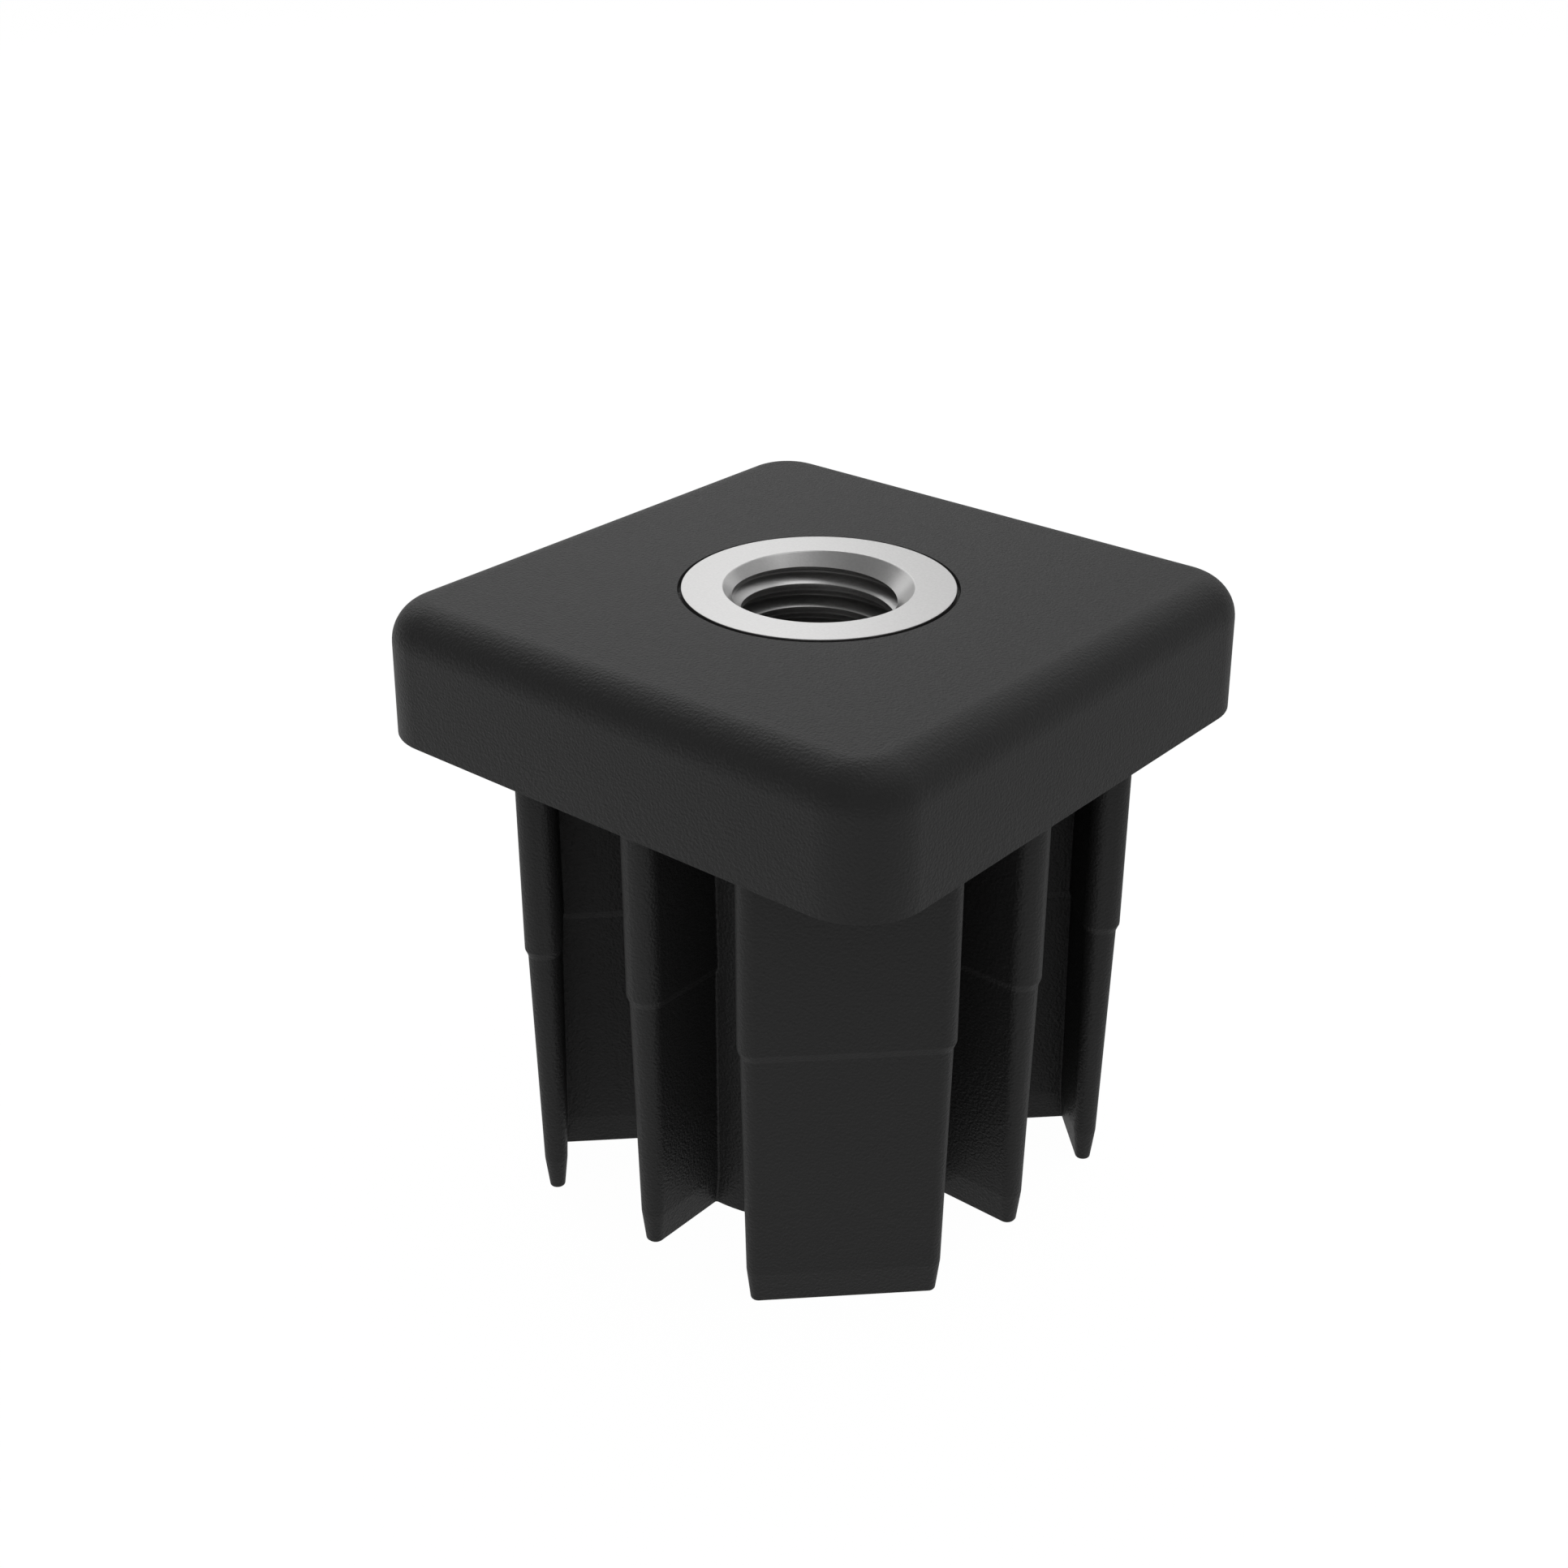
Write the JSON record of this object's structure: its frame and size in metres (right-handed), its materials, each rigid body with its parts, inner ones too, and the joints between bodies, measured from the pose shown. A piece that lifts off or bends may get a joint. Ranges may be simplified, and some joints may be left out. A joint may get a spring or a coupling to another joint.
{
  "type": "threaded tube insert",
  "caption": "Square plastic insert for the open end of a tube: a flat head with rounded edges, a ribbed stem and a moulded-in metal bush with an internal thread.",
  "frame": {"origin": "centre of the stem's flat end, on the axis of the thread; the insert stands there head up", "axes": "+Z along the thread's axis, from the stem's end to the head; X and Y square to the head's sides"},
  "size_m": [0.05, 0.05, 0.0508],
  "materials": {
    "black_plastic": "matte black glass-filled plastic with a fine moulded grain",
    "bush_steel": "satin turned steel with a bright plated look"
  },
  "bodies": {
    "root": {"plug_body": "black_plastic", "threaded_bush": "bush_steel"}
  },
  "joints": []
}
